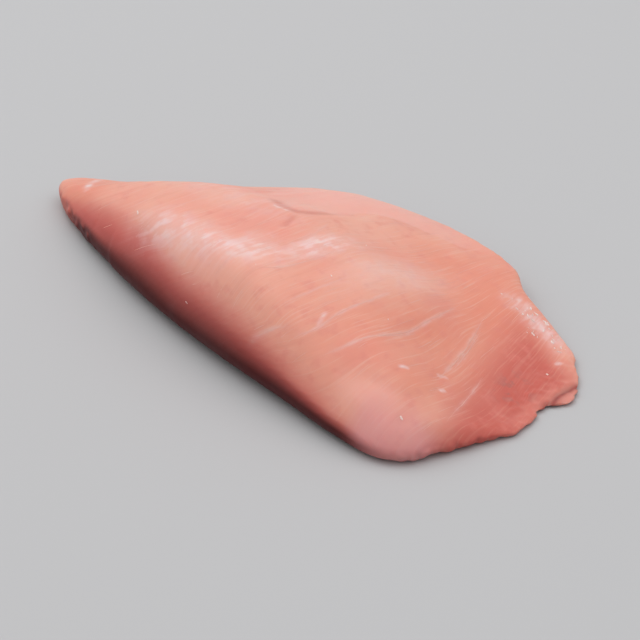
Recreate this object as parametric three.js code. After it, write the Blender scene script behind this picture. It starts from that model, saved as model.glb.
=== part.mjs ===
// A raw, boneless chicken breast fillet that lies on its flat cut side.
// Units are millimetres and +Z is up. +X runs from the narrow tail to the thin blunt end,
// and +Y points to the far side with its loose flap of meat. The origin is under the middle.

import * as THREE from "three";
import { ImprovedNoise } from "three/addons/math/ImprovedNoise.js";

// Size of the whole fillet
const LENGTH = 190;
const WIDTH = 100;
const THICKNESS = 31;

// The outline, anticlockwise from the tail. A place is a percentage of the length and of the
// width from the middle, and rim is the height of the fillet's widest line there.
const OUTLINE = [
  { place: "tail tip", along: -50, across: -8.4, rim: 4.8 },
  { place: "tail, near corner", along: -47.6, across: -13.1, rim: 4 },
  { place: "tail, near side", along: -40.5, across: -20.4, rim: 4.5 },
  { place: "near flank, waist", along: -22.5, across: -33.1, rim: 6 },
  { place: "near flank, shoulder", along: -8.5, across: -40, rim: 6.5 },
  { place: "near flank, middle", along: 5, across: -44.7, rim: 7 },
  { place: "near flank, full", along: 18.5, across: -47.6, rim: 6.5 },
  { place: "near lobe, start", along: 31.5, across: -49.8, rim: 4.6 },
  { place: "near lobe, round", along: 39, across: -49.1, rim: 3.4 },
  { place: "near lobe, corner", along: 43.2, across: -44.3, rim: 3 },
  { place: "blunt end, near", along: 45.4, across: -34.5, rim: 2.8 },
  { place: "blunt end, middle", along: 47.2, across: -25.5, rim: 2.4 },
  { place: "blunt end, far", along: 48.5, across: -17.8, rim: 2 },
  { place: "notch, lip", along: 50, across: -12, rim: 1.8 },
  { place: "notch, near side", along: 49.7, across: -5.5, rim: 1.6 },
  { place: "notch", along: 48, across: 1, rim: 1.4 },
  { place: "tongue, near side", along: 49.1, across: 7.3, rim: 1.4 },
  { place: "tongue, tip", along: 50, across: 12, rim: 1.4 },
  { place: "tongue, far side", along: 48.2, across: 18, rim: 1.6 },
  { place: "far end, tip", along: 44.8, across: 24.5, rim: 1.8 },
  { place: "far end, thin edge", along: 41.5, across: 29.8, rim: 2.4 },
  { place: "far end, edge", along: 34.3, across: 35.4, rim: 3.5 },
  { place: "far corner", along: 26.5, across: 40.7, rim: 5.5 },
  { place: "far side, flap end", along: 22, across: 46.8, rim: 7 },
  { place: "far side, widest", along: 10, across: 49.9, rim: 8.5 },
  { place: "far side, flap", along: -3.5, across: 45.4, rim: 9.5 },
  { place: "far shoulder", along: -13.5, across: 37, rim: 9.5 },
  { place: "far waist", along: -22.5, across: 20.6, rim: 9 },
  { place: "tail, root", along: -32, across: 6.9, rim: 8 },
  { place: "tail, far side", along: -42.5, across: 0.1, rim: 8 },
  { place: "tail, far corner", along: -48.5, across: -3.7, rim: 5.6 },
];

// The upper side is a slab with soft mounds on it. A mound's place and radii are percentages
// of the length and width, turn is in degrees and rise is a percentage of the thickness.
// A mound with more fullness has a broader top and steeper sides.
const SLAB_RISE = 10;
const MOUNDS = [
  { form: "body", along: 2, across: -20.1, long: 33.3, wide: 42.2, turn: 2, rise: 89, fullness: 1.5 },
  { form: "far flap", along: -2.5, across: 32.2, long: 24, wide: 19, turn: 12, rise: 34 },
  { form: "far corner", along: 26, across: 32.2, long: 8.5, wide: 14.8, turn: -20, rise: 10 },
  { form: "tail ridge", along: -33, across: -10, long: 19, wide: 16.9, turn: 16, rise: 25 },
  { form: "near lobe", along: 34.5, across: -34.3, long: 11.5, wide: 15.3, turn: -8, rise: 25 },
  { form: "valley by the lobe", along: 32, across: -12.1, long: 10.5, wide: 11.6, turn: 75, rise: -5 },
  { form: "shelf at the end", along: 47, across: 0.5, long: 11.5, wide: 31.7, turn: 0, rise: -8 },
];

// Rounding of the flanks: how far in from the outline the upper side is reached, and how far
// the meat rolls under to its flat side
const FLANK_LEAST = 2;
const FLANK_PER_RISE = 0.6;
const TUCK_LEAST = 1;
const TUCK_PER_RIM = 1.1;

// Muscle fibres run across as low ridges. They bow on the near side and lean at both ends.
const FIBRE_RISE = 0.16;
const FIBRE_SPACING = 3.8;
const FIBRE_REACH = 45;
const FIBRE_BOW = 0.0065;
const BOW_MIDDLE = -6;
const BOW_END = 4;
const LEAN_START = 11;
const LEAN_LENGTH = 90;
const END_LEAN = 0.3;
const END_START = 31;
const END_LENGTH = 35;

// Slow unevenness of soft meat
const SWELL_RISE = 0.5;
const SWELL_SPACING = 26;

// The seam where the loose flap leaves the body, from the tail to the blunt end
const SEAM = [
  { along: -12.5, across: 5 },
  { along: -5.5, across: 8 },
  { along: -0.5, across: 16 },
  { along: 4.5, across: 31 },
  { along: 13.5, across: 41 },
];
const SEAM_DEPTH = 1.3;
const SEAM_LIP = 3;
const SEAM_SLOPE = 8;
const SEAM_FADE = 6;

// The groove that sets the little tongue of the blunt end apart
const TONGUE_GROOVE = [
  { along: 48.3, across: 3 },
  { along: 47.3, across: 7.5 },
  { along: 46.9, across: 12 },
  { along: 47.2, across: 18 },
];
const GROOVE_DEPTH = 1.1;
const GROOVE_HALF_WIDTH = 2;

// Torn look of the thin edge
const RAGGED_SHIFT = 1.3;
const RAGGED_SPACING = 5;
const RAGGED_RIM = 4;

// The rings of the skin are drawn in towards a spine along the crest
const SPINE_SHARE = 0.55;
const SPINE_REACH = 42;
const SPINE_ACROSS = -8;
const SPINE_STEPS = 44;
const CREST_GAP = 0.07;
const COLUMNS = 176;
const TOP_RINGS = 18;
const UNDER_RINGS = 6;
const OUTLINE_STEPS = 704;
const BASE_STEP = 16;
const BASE_SHARE = 0.45;

const MEAT_COLOUR = 0xe0a08e;
const MEAT_ROUGHNESS = 0.38;

const noise = new ImprovedNoise();

function percentPlace({ along, across }) {
  return { x: (along * LENGTH) / 100, y: (across * WIDTH) / 100 };
}

function raggedShift(point) {
  const thin = THREE.MathUtils.clamp((RAGGED_RIM - point.z) / RAGGED_RIM, 0, 1);
  const shift = RAGGED_SHIFT * 2 * thin;
  const u = point.x / RAGGED_SPACING;
  const v = point.y / RAGGED_SPACING;
  const x = point.x + shift * noise.noise(u, v, 0.5);
  const y = point.y + shift * noise.noise(u, v, 7.5);
  return new THREE.Vector3(x, y, point.z);
}

function outlinePoints(count) {
  const corners = OUTLINE.map((corner) => {
    const { x, y } = percentPlace(corner);
    return new THREE.Vector3(x, y, corner.rim);
  });
  const curve = new THREE.CatmullRomCurve3(corners, true, "centripetal");
  curve.arcLengthDivisions = OUTLINE_STEPS * 4;
  return curve.getSpacedPoints(count).slice(0, count).map(raggedShift);
}

function mound(x, y, { along, across, long, wide, turn, rise, fullness = 1 }) {
  const centre = percentPlace({ along, across });
  const angle = THREE.MathUtils.degToRad(turn);
  const dx = x - centre.x;
  const dy = y - centre.y;
  const u = (dx * Math.cos(angle) + dy * Math.sin(angle)) / ((long * LENGTH) / 100);
  const v = (dy * Math.cos(angle) - dx * Math.sin(angle)) / ((wide * WIDTH) / 100);
  return ((rise * THICKNESS) / 100) * Math.exp(-((u * u + v * v) ** fullness));
}

// The distance across the fibres: it is the same all along one fibre
function acrossFibres(x, y) {
  const bow = FIBRE_BOW * (Math.min(y, BOW_END) - BOW_MIDDLE) ** 2;
  const tailward = Math.max(LEAN_START - x, 0) / LEAN_LENGTH;
  const endward = THREE.MathUtils.clamp((x - END_START) / END_LENGTH, 0, 1);
  return x + bow + (END_LEAN * endward - tailward ** 2) * y;
}

function fibreRidges(x, y) {
  const across = acrossFibres(x, y) / FIBRE_SPACING;
  return FIBRE_RISE * 2 * noise.noise(across, y / FIBRE_REACH, 3.5);
}

function swell(x, y) {
  return SWELL_RISE * 2 * noise.noise(x / SWELL_SPACING, y / SWELL_SPACING, 9.5);
}

// The curve through some places, sampled, with each sample's share of its length
function planPath(places) {
  const corners = places.map(percentPlace).map(({ x, y }) => new THREE.Vector3(x, y, 0));
  const curve = new THREE.CatmullRomCurve3(corners);
  const steps = 60;
  return curve.getSpacedPoints(steps).map((point, index) => {
    const ahead = curve.getTangentAt(index / steps);
    return { x: point.x, y: point.y, left: { x: -ahead.y, y: ahead.x }, share: index / steps };
  });
}

function nearest(path, x, y) {
  let best = path[0];
  let bestSquare = Infinity;
  for (const sample of path) {
    const square = (sample.x - x) ** 2 + (sample.y - y) ** 2;
    if (square < bestSquare) {
      best = sample;
      bestSquare = square;
    }
  }
  return { sample: best, distance: Math.sqrt(bestSquare) };
}

const seamPath = planPath(SEAM);
const groovePath = planPath(TONGUE_GROOVE);

function flapSeam(x, y) {
  const { sample, distance } = nearest(seamPath, x, y);
  const beyond = (x - sample.x) * sample.left.x + (y - sample.y) * sample.left.y;
  const width = beyond > 0 ? SEAM_SLOPE : SEAM_LIP;
  const pastEnd = Math.sqrt(Math.max(distance ** 2 - beyond ** 2, 0));
  const fade = Math.exp(-((pastEnd / SEAM_FADE) ** 2));
  const strength = Math.sin(Math.PI * THREE.MathUtils.clamp(sample.share, 0.1, 0.9));
  return -SEAM_DEPTH * strength * fade * Math.exp(-((beyond / width) ** 2));
}

function tongueGroove(x, y) {
  const { distance } = nearest(groovePath, x, y);
  return -GROOVE_DEPTH * Math.exp(-((distance / GROOVE_HALF_WIDTH) ** 2));
}

// Height that the upper side would have if it ran on past the outline
function upperSide(x, y) {
  let height = (SLAB_RISE * THICKNESS) / 100;
  for (const form of MOUNDS) {
    height += mound(x, y, form);
  }
  return height + fibreRidges(x, y) + swell(x, y) + flapSeam(x, y) + tongueGroove(x, y);
}

const outline = outlinePoints(OUTLINE_STEPS);

function skinHeight(x, y) {
  const { sample: edge, distance } = nearest(outline, x, y);
  const rise = Math.max(upperSide(edge.x, edge.y) - edge.z, 0);
  const flank = FLANK_LEAST + FLANK_PER_RISE * rise;
  const climb = 1 - THREE.MathUtils.clamp(distance / flank, 0, 1);
  const top = Math.max(upperSide(x, y), edge.z + 0.2);
  return edge.z + (top - edge.z) * Math.sqrt(1 - climb ** 2);
}

// The point of the spine that a column of the skin runs to, and its share of the spine
function spinePoint(edge) {
  const end = (SPINE_REACH * LENGTH) / 100;
  const along = THREE.MathUtils.clamp(edge.x / end, -1, 1);
  return { x: along * end * SPINE_SHARE, y: (SPINE_ACROSS * WIDTH) / 100, share: (along + 1) / 2 };
}

// One ring of the skin over the top: share is 1 at the outline and 0 on the spine
function topRing(columns, share) {
  return columns.map((edge) => {
    const spine = spinePoint(edge);
    const x = spine.x + (edge.x - spine.x) * share;
    const y = spine.y + (edge.y - spine.y) * share;
    const height = share === 1 ? edge.z : skinHeight(x, y);
    return new THREE.Vector3(x, y, height);
  });
}

// One ring of the roll to the flat side: share is 0 on the flat and 1 at the outline
function underRing(columns, share) {
  return columns.map((edge) => {
    const spine = spinePoint(edge);
    const reach = Math.hypot(edge.x - spine.x, edge.y - spine.y);
    const inwards = ((TUCK_LEAST + TUCK_PER_RIM * edge.z) * (1 - share)) / reach;
    const x = edge.x + (spine.x - edge.x) * inwards;
    const y = edge.y + (spine.y - edge.y) * inwards;
    return new THREE.Vector3(x, y, edge.z * (1 - Math.sqrt(1 - share ** 2)));
  });
}

function crestPoints() {
  const end = ((SPINE_REACH * LENGTH) / 100) * SPINE_SHARE;
  const y = (SPINE_ACROSS * WIDTH) / 100;
  return Array.from({ length: SPINE_STEPS + 1 }, (_, index) => {
    const x = end * ((2 * index) / SPINE_STEPS - 1);
    return new THREE.Vector3(x, y, skinHeight(x, y));
  });
}

function basePoints(columns) {
  return columns
    .filter((_, index) => index % BASE_STEP === 0)
    .map((edge) => {
      const spine = spinePoint(edge);
      const x = spine.x + (edge.x - spine.x) * BASE_SHARE;
      const y = spine.y + (edge.y - spine.y) * BASE_SHARE;
      return new THREE.Vector3(x, y, 0);
    });
}

function skinRings(columns) {
  const rings = [];
  for (let k = 0; k < UNDER_RINGS; k += 1) {
    rings.push(underRing(columns, Math.sin((Math.PI / 2) * (k / UNDER_RINGS))));
  }
  for (let k = 0; k <= TOP_RINGS; k += 1) {
    const turn = Math.acos(CREST_GAP) * (k / TOP_RINGS);
    rings.push(topRing(columns, Math.cos(turn)));
  }
  return rings;
}

function stripTriangles(ringCount) {
  const triangles = [];
  for (let k = 0; k < ringCount - 1; k += 1) {
    for (let i = 0; i < COLUMNS; i += 1) {
      const next = (i + 1) % COLUMNS;
      const a = k * COLUMNS + i;
      const b = k * COLUMNS + next;
      const c = (k + 1) * COLUMNS + next;
      const d = (k + 1) * COLUMNS + i;
      triangles.push([a, b, c], [a, c, d]);
    }
  }
  return triangles;
}

// Closes a ring on a few inner points: targets holds the inner point of each column
function closingTriangles(ringFirst, targets) {
  const triangles = [];
  targets.forEach((here, i) => {
    const next = (i + 1) % COLUMNS;
    const ahead = targets[next];
    triangles.push([ringFirst + i, ringFirst + next, here]);
    if (ahead !== here) {
      triangles.push([ringFirst + next, ahead, here]);
    }
  });
  return triangles;
}

function baseTriangles(columns, base, baseFirst) {
  const targets = columns.map((_, i) => baseFirst + (Math.round(i / BASE_STEP) % base.length));
  const contour = base.map(({ x, y }) => new THREE.Vector2(x, y));
  const middle = THREE.ShapeUtils.triangulateShape(contour, []);
  const core = middle.map((corners) => corners.map((index) => baseFirst + index));
  return [...closingTriangles(0, targets), ...core].map((corners) => corners.reverse());
}

function breastGeometry() {
  const columns = outline.filter((_, index) => index % (OUTLINE_STEPS / COLUMNS) === 0);
  const rings = skinRings(columns);
  const crest = crestPoints();
  const base = basePoints(columns);
  const topFirst = (rings.length - 1) * COLUMNS;
  const crestFirst = rings.length * COLUMNS;
  const baseFirst = crestFirst + crest.length;
  const crestTargets = columns.map((edge) => {
    return crestFirst + Math.round(spinePoint(edge).share * SPINE_STEPS);
  });
  const triangles = [
    ...stripTriangles(rings.length),
    ...closingTriangles(topFirst, crestTargets),
    ...baseTriangles(columns, base, baseFirst),
  ];
  const points = [...rings.flat(), ...crest, ...base];
  const geometry = new THREE.BufferGeometry().setFromPoints(points);
  geometry.setIndex(triangles.flat());
  return geometry;
}

// Centres the fillet over the origin and brings its box to the driving sizes
function fitToSize(geometry) {
  geometry.computeBoundingBox();
  const middle = geometry.boundingBox.getCenter(new THREE.Vector3());
  const size = geometry.boundingBox.getSize(new THREE.Vector3());
  geometry.translate(-middle.x, -middle.y, 0);
  geometry.scale(LENGTH / size.x, WIDTH / size.y, THICKNESS / size.z);
  geometry.computeVertexNormals();
  return geometry;
}

function makeBreast() {
  const material = new THREE.MeshStandardMaterial({
    color: MEAT_COLOUR,
    roughness: MEAT_ROUGHNESS,
    metalness: 0,
  });
  const breast = new THREE.Mesh(fitToSize(breastGeometry()), material);
  breast.name = "chicken_breast";
  return breast;
}

const fillet = new THREE.Group();
fillet.add(makeBreast());

export default fillet;
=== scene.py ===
# %% [markdown]
# # A raw chicken breast
# This lesson dresses one boneless, skinless breast fillet. The real thing is a single muscle:
# a domed body with a narrow tail, a loose flap along its far side, a round lobe on its near
# side and a thin blunt end with a torn edge. Nothing on it is straight or flat but the side
# that it lies on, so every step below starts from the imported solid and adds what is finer.

# %% Load the frame
import math

import bmesh
import bpy
import numpy as np
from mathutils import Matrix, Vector, noise


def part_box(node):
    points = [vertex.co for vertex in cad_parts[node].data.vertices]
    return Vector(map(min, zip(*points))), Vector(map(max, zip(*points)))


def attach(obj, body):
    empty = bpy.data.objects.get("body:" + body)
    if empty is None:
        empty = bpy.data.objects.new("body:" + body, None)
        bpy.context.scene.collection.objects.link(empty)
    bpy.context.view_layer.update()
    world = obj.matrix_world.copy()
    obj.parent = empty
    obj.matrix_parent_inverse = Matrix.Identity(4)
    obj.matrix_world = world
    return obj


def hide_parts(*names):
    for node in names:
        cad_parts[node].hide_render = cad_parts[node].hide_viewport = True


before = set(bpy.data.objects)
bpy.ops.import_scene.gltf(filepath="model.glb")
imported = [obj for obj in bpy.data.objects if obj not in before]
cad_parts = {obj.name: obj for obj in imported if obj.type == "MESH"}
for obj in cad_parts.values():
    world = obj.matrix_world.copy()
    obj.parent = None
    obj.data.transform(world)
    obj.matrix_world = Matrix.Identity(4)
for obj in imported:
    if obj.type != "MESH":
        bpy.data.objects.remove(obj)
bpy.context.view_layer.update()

NODE = "chicken_breast"
BODY = "root"
MM = 0.001

low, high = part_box(NODE)
size = high - low
print("the solid measures", [round(side / MM, 1) for side in size], "mm")

# %% [markdown]
# ## Places on the fillet
# The fillet has no corners to measure from, so every place is a percentage of its length and
# width, counted from the middle. One helper turns such a pair into metres, and another one
# tells where given points lie in percent.

# %% A place on the plan
middle = (low + high) / 2


def place(along, across):
    """The plan point, in metres, at these percentages of the length and the width."""
    return np.array((middle.x + along / 100 * size.x, middle.y + across / 100 * size.y))


def percentages(points):
    """How far along and across the fillet the points lie, in percent from the middle."""
    along = (points[:, 0] - middle.x) / size.x * 100
    across = (points[:, 1] - middle.y) / size.y * 100
    return along, across


print("the notch of the blunt end lies at", (place(48, 1) / MM).round(1), "mm")

# %% [markdown]
# ## A smooth skin
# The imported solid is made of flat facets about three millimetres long. Meat is smooth, so a
# copy is subdivided, remeshed into small even cells and relaxed a little. A voxel remesh suits
# a lump of meat, because the fine relief that comes next needs cells of one size all over. The
# cells are as small as they can be with the skin under 200,000 triangles.

# %% Copy and remesh the solid
SAME_POINT = 0.005 * MM
VOXEL = 0.64 * MM
RELAX_FACTOR = 0.5
RELAX_TURNS = 4


def link(piece):
    bpy.context.scene.collection.objects.link(piece)
    return piece


def copy_of_node(node, name):
    """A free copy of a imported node, with the split corners of its facets merged."""
    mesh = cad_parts[node].data.copy()
    work = bmesh.new()
    work.from_mesh(mesh)
    bmesh.ops.remove_doubles(work, verts=work.verts, dist=SAME_POINT)
    work.to_mesh(mesh)
    work.free()
    mesh.materials.clear()
    return link(bpy.data.objects.new(name, mesh))


def bake_modifiers(piece):
    """Gives the piece the mesh that its modifiers make, and removes them."""
    depsgraph = bpy.context.evaluated_depsgraph_get()
    finished = bpy.data.meshes.new_from_object(
        piece.evaluated_get(depsgraph), preserve_all_data_layers=True, depsgraph=depsgraph
    )
    piece.modifiers.clear()
    piece.data = finished
    finished.name = piece.name
    return piece


def smooth_copy(node, name):
    piece = copy_of_node(node, name)
    rounding = piece.modifiers.new("round the facets", "SUBSURF")
    rounding.levels = rounding.render_levels = 1
    cells = piece.modifiers.new("even cells", "REMESH")
    cells.mode = "VOXEL"
    cells.voxel_size = VOXEL
    cells.use_smooth_shade = True
    relax = piece.modifiers.new("relax", "SMOOTH")
    relax.factor = RELAX_FACTOR
    relax.iterations = RELAX_TURNS
    return bake_modifiers(piece)


breast = smooth_copy(NODE, "breast_meat")
print("the skin has", len(breast.data.polygons), "faces")

# %% [markdown]
# ## Reading and moving many points
# A mesh of this size is moved as arrays: one read, one sum for all points, one write. Each
# form below gives a push along the normals, so forms can be added up before anything moves.

# %% Arrays of points and normals


def read_points(mesh):
    values = np.empty(len(mesh.vertices) * 3)
    mesh.vertices.foreach_get("co", values)
    return values.reshape(-1, 3)


def read_normals(mesh):
    values = np.empty(len(mesh.vertices) * 3)
    mesh.vertex_normals.foreach_get("vector", values)
    return values.reshape(-1, 3)


def write_points(mesh, points):
    """Moves the mesh's points, but never below the side that the fillet lies on."""
    points[:, 2] = np.maximum(points[:, 2], low.z)
    mesh.vertices.foreach_set("co", points.ravel())
    mesh.update()


def ramp(start, end, value):
    """A smooth climb from 0 at start to 1 at end."""
    share = np.clip((value - start) / (end - start), 0, 1)
    return share * share * (3 - 2 * share)


# %% [markdown]
# ## Lines pressed into the meat
# Where two layers of meat meet, the surface dips in a soft line that is steeper on one side.
# Each line is a smooth path through a few places. A point's distance to the path, and the side
# it lies on, give the depth of the dip there. A texture could draw such lines too, but a dip
# in the mesh catches the light from every side.

# %% Paths over the plan
PATH_STEPS = 40


def path_through(places):
    """Points of a Catmull-Rom line through the places, for a path on the plan."""
    corners = [place(*spot) for spot in places]
    ends = [2 * corners[0] - corners[1], *corners, 2 * corners[-1] - corners[-2]]
    t = np.linspace(0, 1, PATH_STEPS, endpoint=False)[:, None]
    spans = []
    for a, b, c, d in zip(ends, ends[1:], ends[2:], ends[3:]):
        bend = 2 * a - 5 * b + 4 * c - d
        twist = 3 * b - a - 3 * c + d
        spans.append(0.5 * (2 * b + (c - a) * t + bend * t**2 + twist * t**3))
    return np.vstack([*spans, corners[-1]])


def beside(plan, path):
    """Each plan point's distance to the left of the path, past its ends, and its share of it."""
    nearest = np.zeros(len(plan), int)
    closest = np.full(len(plan), np.inf)
    for index, spot in enumerate(path):
        square = ((plan - spot) ** 2).sum(1)
        nearer = square < closest
        nearest[nearer] = index
        closest[nearer] = square[nearer]
    ahead = np.gradient(path, axis=0)
    ahead /= np.linalg.norm(ahead, axis=1)[:, None]
    offset = plan - path[nearest]
    left = ahead[nearest, 0] * offset[:, 1] - ahead[nearest, 1] * offset[:, 0]
    past = np.sqrt(np.maximum(closest - left**2, 0))
    return left, past, nearest / (len(path) - 1)


def faded_ends(share, fade):
    """1 along a path, and falling to 0 over this share of it at both ends."""
    return ramp(0, fade, share) * ramp(0, fade, 1 - share)


def soft_line(side, past, width, beyond, offset=0.0):
    """1 on a path, or offset to its left. It fades over width, and over beyond past its ends."""
    return np.exp(-(((side - offset) / width) ** 2) - (past / beyond) ** 2)


# %% [markdown]
# ## The seam and the folds
# The flap leaves the body at a fine seam with a rounded lip. A short fold branches off it on
# the crest, a shallow line runs round the lobe, another one crosses the tail, and a fold sets
# the little tongue of the blunt end apart. The paths are the ones of the solid, so the fine
# lines lie in its broad dips.

# %% Press the lines
SEAM = [
    (-11, 5.5), (-7.5, 1.5), (-3.6, -1.5), (-0.8, -0.5), (0.6, 6),
    (0.6, 14), (0.8, 24), (5, 33), (13.5, 41),
]
CREST_FOLD = [(1.6, -12), (0.9, -9), (0.2, -5.5), (-0.6, -0.5)]
LOBE_LINE = [(30.5, -40), (36, -37.5), (39.5, -31), (38.5, -21), (35.5, -16)]
TONGUE_FOLD = [(48.3, 3), (47.3, 7.5), (46.9, 12), (47.2, 18)]
TAIL_FOLD = [(-33.5, -23.5), (-30, -27), (-26.5, -30.5)]
LINE_FADE = 0.15

# Each row: the places, the depth, and the reach to the right and to the left, in millimetres.
# The seam's second row has a depth below zero, which raises the lip beside the dip.
PRESSED_LINES = [
    (SEAM, 0.38, 1.8, 4),
    (SEAM, -0.3, 4, 1.2),
    (CREST_FOLD, 0.25, 1.6, 1.2),
    (LOBE_LINE, 0.2, 1.5, 2.2),
    (TAIL_FOLD, 0.18, 1.6, 2.8),
    (TONGUE_FOLD, 0.7, 1.3, 0.5),
]


def pressed_line(plan, places, depth, right, left):
    """The push of one dip along a path, with all of its measures in metres."""
    side, past, share = beside(plan, path_through(places))
    reach = np.where(side > 0, left, right)
    return -depth * faded_ends(share, LINE_FADE) * soft_line(side, past, reach, right)


plan = read_points(breast.data)[:, :2]
lines = sum(
    pressed_line(plan, places, depth * MM, right * MM, left * MM)
    for places, depth, right, left in PRESSED_LINES
)
print("the deepest line is", round(-lines.min() / MM, 2), "mm deep")

# %% [markdown]
# The thin edges were cut or torn, so they are frayed, with small bumps and nicks two or three
# millimetres apart. They are only on the rim of the blunt end and the near edge of the tail.
# Smooth noise at each point makes them, and a mask keeps them to the edges.

# %% Fray the thin edges
TAIL_EDGE = [(-46, -16.5), (-41, -20.5), (-35, -25)]
END_FRAY = 0.55 * MM
END_FRAY_SPACING = 2.2 * MM
END_FRAY_SEED = 3
TAIL_FRAY = 0.45 * MM
TAIL_FRAY_SPACING = END_FRAY_SPACING * 1.2
TAIL_FRAY_SEED = 11
END_ZONE = (38, 44)
END_RIM_HEIGHT = (2.5 * MM, 4.5 * MM)
TAIL_RIM_WIDTH, TAIL_RIM_BEYOND = 5 * MM, 4 * MM
TAIL_RIM_HEIGHT = (5 * MM, 8 * MM)
UNTOUCHED = 0.01


def bumps(points, where, spacing, seed):
    """Smooth noise from -1 to 1 at the points that the mask touches."""
    shift = Vector((seed, seed, seed))
    values = np.zeros(len(points))
    for index in np.flatnonzero(where > UNTOUCHED):
        values[index] = noise.noise(Vector(points[index]) / spacing + shift)
    return values


points = read_points(breast.data)
along, _ = percentages(points)
height = points[:, 2] - low.z
end_rim = ramp(*END_ZONE, along) * (1 - ramp(*END_RIM_HEIGHT, height))
tail_side, tail_past, _ = beside(plan, path_through(TAIL_EDGE))
tail_rim = soft_line(tail_side, tail_past, TAIL_RIM_WIDTH, TAIL_RIM_BEYOND)
tail_rim *= 1 - ramp(*TAIL_RIM_HEIGHT, height)
fray = END_FRAY * end_rim * bumps(points, end_rim, END_FRAY_SPACING, END_FRAY_SEED)
fray += TAIL_FRAY * tail_rim * bumps(points, tail_rim, TAIL_FRAY_SPACING, TAIL_FRAY_SEED)
write_points(breast.data, points + read_normals(breast.data) * (lines + fray)[:, None])
print("the fray moves points by up to", round(np.abs(fray).max() / MM, 2), "mm")

# %% [markdown]
# ## Masks for colour
# Meat changes colour where its thickness or its cover changes, and some of the masks below are
# painted light and shade. Each such place becomes a mask: a number from 0 to 1 at each point,
# kept on the mesh by name for the materials and Geometry Nodes below. A mask could be painted
# by hand, but one in code can be moved and measured. Two shapes make most of them, a soft oval
# and a soft stroke. Where several overlap, the strongest one counts.

# %% Shapes for masks
PATCH_HARDNESS = 1.3
STROKE_FADE = 0.3


def soft_patch(plan, along, across, long, wide, turn=0.0):
    """An oval mask: 1 in the middle and fading out. long and wide are in metres."""
    offset = plan - place(along, across)
    angle = math.radians(turn)
    u = (offset[:, 0] * math.cos(angle) + offset[:, 1] * math.sin(angle)) / long
    v = (offset[:, 1] * math.cos(angle) - offset[:, 0] * math.sin(angle)) / wide
    return np.exp(-((u * u + v * v) ** PATCH_HARDNESS))


def stroke(plan, places, width, fade=STROKE_FADE):
    """A mask along a path: 1 on the path and fading out to its sides and its ends."""
    side, past, share = beside(plan, path_through(places))
    return faded_ends(share, fade) * soft_line(side, past, width, width)


def strongest_patch(plan, rows):
    """Each row: strength, along, across, length and width in millimetres, turn in degrees."""
    return np.maximum.reduce([
        strength * soft_patch(plan, along, across, long * MM, wide * MM, turn)
        for strength, along, across, long, wide, turn in rows
    ])


def strongest_stroke(plan, rows):
    """Each row: strength, places, and width in millimetres."""
    return np.maximum.reduce([
        strength * stroke(plan, places, width * MM) for strength, places, width in rows
    ])


def store(mesh, **masks):
    """Keeps each mask on the mesh under its own name."""
    for name, values in masks.items():
        layer = mesh.attributes.new(name, "FLOAT", "POINT")
        layer.data.foreach_set("value", np.clip(values, 0, 1).astype(np.float32))
        print("mask", name, "covers", round(float(values.mean()) * 100, 1), "percent")


# %% [markdown]
# The pale film is connective tissue. It is thickest in a band on the near side of the crest,
# and thin lines of it follow the long strands. The same mask also holds painted light: the band
# and the soft patches on the crest are partly a painted sheen, the stroke along the thin end's
# far edge is partly a painted sheen, one short line on the lip of the seam is a painted
# highlight, and the small spots near the far edge of the thin end are painted glints. The film
# could be a sheet of its own, but it is far thinner than a cell of the mesh, so it is a mask for
# colour. On steep meat it fades out, so the painted sheen stays on what faces up.

# %% Mark the pale film and its painted sheen
LONG_STRANDS = [
    (0.7, [(10.5, -45.5), (13, -43.5), (17.5, -40)]),
    (1.0, [(18, -43.5), (21, -36.5), (22, -25), (22.3, -13), (22, -6)]),
    (1.1, [(24.2, -42.5), (27.3, -33.5), (28.9, -19), (27.8, -3), (25, 17)]),
    (0.8, [(27.5, -32), (29, -22), (29.4, -12)]),
    (1.1, [(37.2, -19), (33.5, 0), (29, 17.5)]),
    (0.7, [(36.5, -12), (34, 0), (31, 12)]),
    (0.6, [(44, -30), (41.5, -16), (38.6, -3)]),
    (0.7, [(5.5, -33), (9, -26), (11, -15), (10.5, -6)]),
    (0.6, [(6, -12), (5.5, -6), (3.5, 4)]),
    (0.5, [(14, -38), (16, -26), (17, -12)]),
]
HAZE_BAND = [
    (-27, -24), (-19.8, -26.6), (-12.9, -28.1), (-5, -29.4), (0.6, -28.6), (6.6, -22.1), (9, -16),
]
# This stroke runs along the thin end's far edge: partly milky meat, partly a painted sheen.
END_MILK_AND_SHEEN = [(25, 31), (28, 31.5), (31, 31.5), (34, 30.5), (38.5, 29), (43, 23)]
TAIL_MARK = [(-39, -16), (-40.5, -14), (-42.5, -9), (-43.7, -4), (-43.5, 0)]
# The first of these marks is a painted highlight on the lip of the seam; the others are white
# marks on the meat.
WHITE_MARKS_AND_LIP_HIGHLIGHT = [
    [(-6, -1.2), (-4.4, -3), (-2.6, -3), (-1, -1.6)],
    [(21, -37), (20.6, -33.5), (20, -30.5)],
    [(34.2, -30), (34.6, -28), (35.2, -26.5)],
    [(36.6, -18.5), (36.9, -16.6), (37.6, -15)],
    [(39, -23), (39.2, -21.5), (39.3, -20)],
]
# Painted glints: pale spots that stand in for wet highlights near the thin end's far edge.
PAINTED_GLINTS = [
    (28.7, 33), (30.8, 31.2), (34.4, 28.5), (35.4, 27.2), (36.6, 28.9), (38.4, 29.2), (42.3, 21.5),
]
GLINT_LENGTH, GLINT_WIDTH, GLINT_TURN = 1.3, 0.7, 70
FILM_AND_SHEEN_SLOPE = (0.2, 0.55)

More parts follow.
